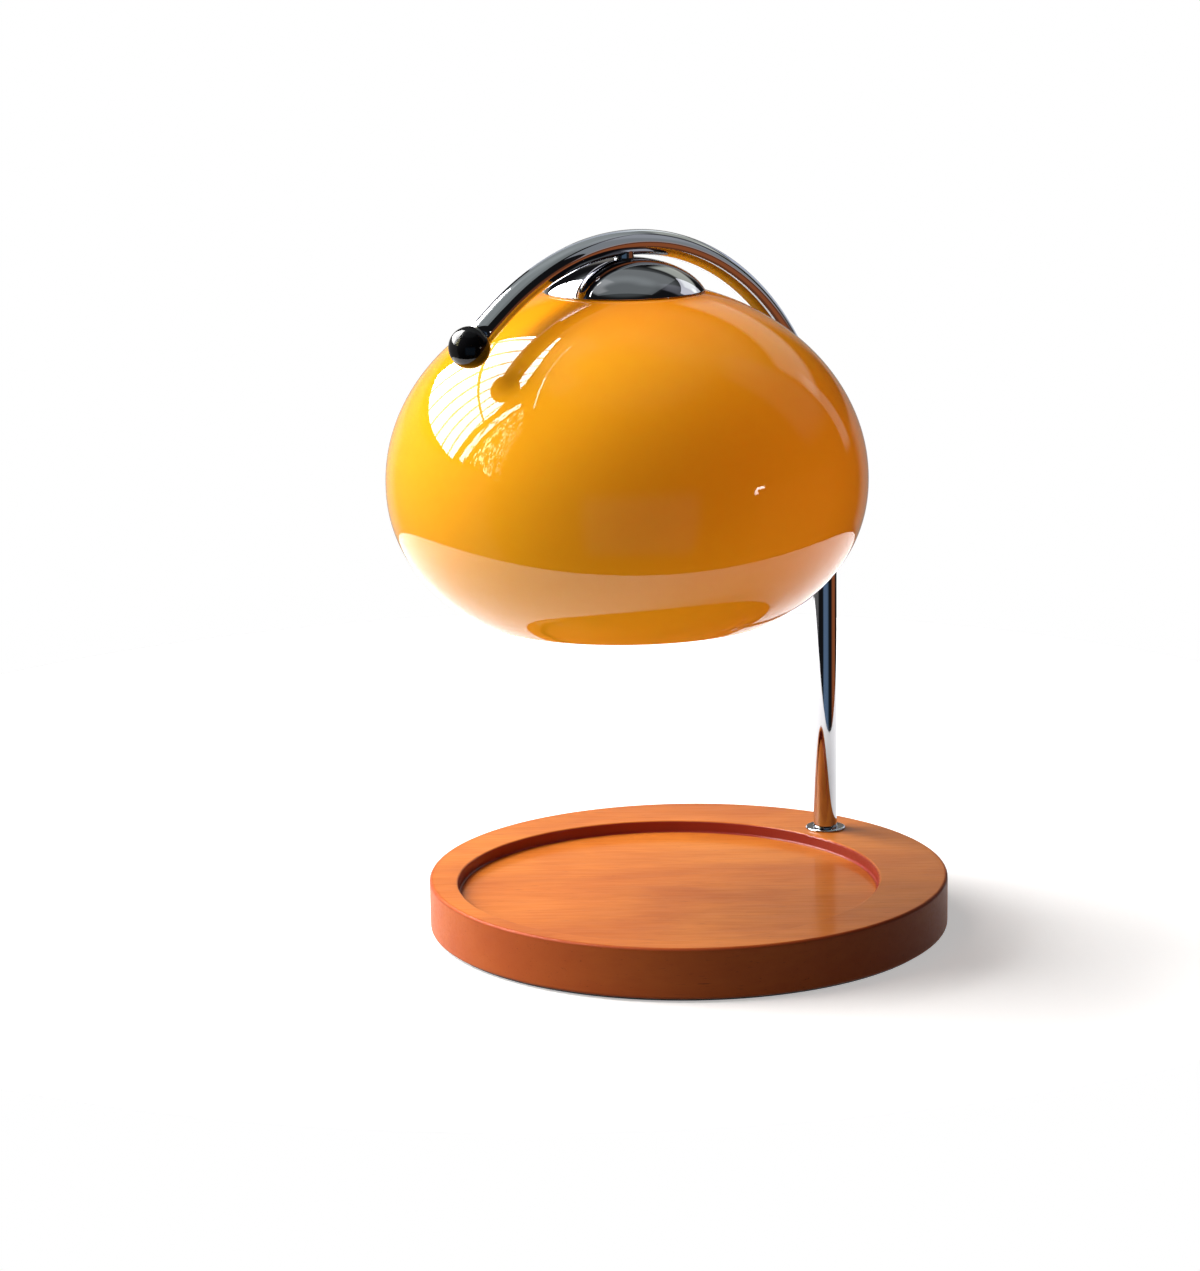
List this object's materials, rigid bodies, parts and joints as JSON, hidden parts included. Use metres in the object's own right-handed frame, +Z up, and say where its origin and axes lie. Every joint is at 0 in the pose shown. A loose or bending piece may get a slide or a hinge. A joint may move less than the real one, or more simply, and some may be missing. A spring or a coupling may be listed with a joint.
{
  "type": "candle warmer lamp",
  "caption": "Candle warmer lamp: round wooden foot with a candle tray, bent chrome post with a ball end, and a glass shade with a lamp that warms the candle from above.",
  "frame": {"origin": "on the table, under the centre of the round foot", "axes": "+Z up; the post stands at +Y and the shade and the ball end point to -Y; +X is to the right seen from the front"},
  "size_m": [0.213, 0.2361, 0.2875],
  "materials": {
    "wood": "satin",
    "pad": "matte",
    "cover": "satin",
    "screw": "satin",
    "gland": "satin",
    "terminal": "matte",
    "brass": "satin",
    "lead": "satin",
    "chrome": "polished",
    "fibre": "matte",
    "steel": "satin",
    "ball": "gloss",
    "plug": "matte",
    "glass": "gloss",
    "silicone": "satin",
    "ceramic": "satin",
    "lamp_base": "gloss",
    "reflector": "polished",
    "lens": "gloss",
    "capsule": "gloss"
  },
  "bodies": {
    "base": {"wood_base": "wood", "base_pad": "pad", "bottom_cover": "cover", "cover_screws": "screw", "cord_gland": "gland", "terminal_block": "terminal", "terminal_sleeves": "brass", "terminal_screws": "screw", "block_screw": "screw", "base_lead": "lead", "block_leads": "lead"},
    "arm": {"post_flange": "chrome", "arm_tube": "chrome", "friction_washer": "fibre", "spring_washer": "steel", "base_nut": "steel", "ball_finial": "ball", "finial_stud": "steel", "tube_plug": "plug", "arm_lead": "lead", "hanger_nipple": "steel", "top_cap": "chrome", "cap_gasket": "silicone", "spacer_collar": "steel", "glass_shade": "glass", "shade_gasket": "silicone", "clamp_plate": "steel", "nipple_nut": "steel", "holder_bracket": "steel", "bracket_nut": "steel", "holder_screws": "screw", "lamp_holder": "ceramic", "holder_back": "ceramic", "socket_contacts": "brass", "holder_leads": "lead"},
    "bulb": {"bulb_base": "lamp_base", "bulb_pins": "steel", "bulb_reflector": "reflector", "bulb_lens": "lens", "bulb_capsule": "capsule"}
  },
  "joints": [
    {"name": "arm_swivel", "type": "hinge", "parent": "base", "child": "arm", "pos_m": [0, 0.087, 0.0215], "axis": [0, 0, 1], "range_deg": [-40, 40]},
    {"name": "bulb_twist", "type": "hinge", "parent": "arm", "child": "bulb", "pos_m": [0, -0.033, 0.222], "axis": [0, 0, 1], "range_deg": [-22, 0]}
  ]
}
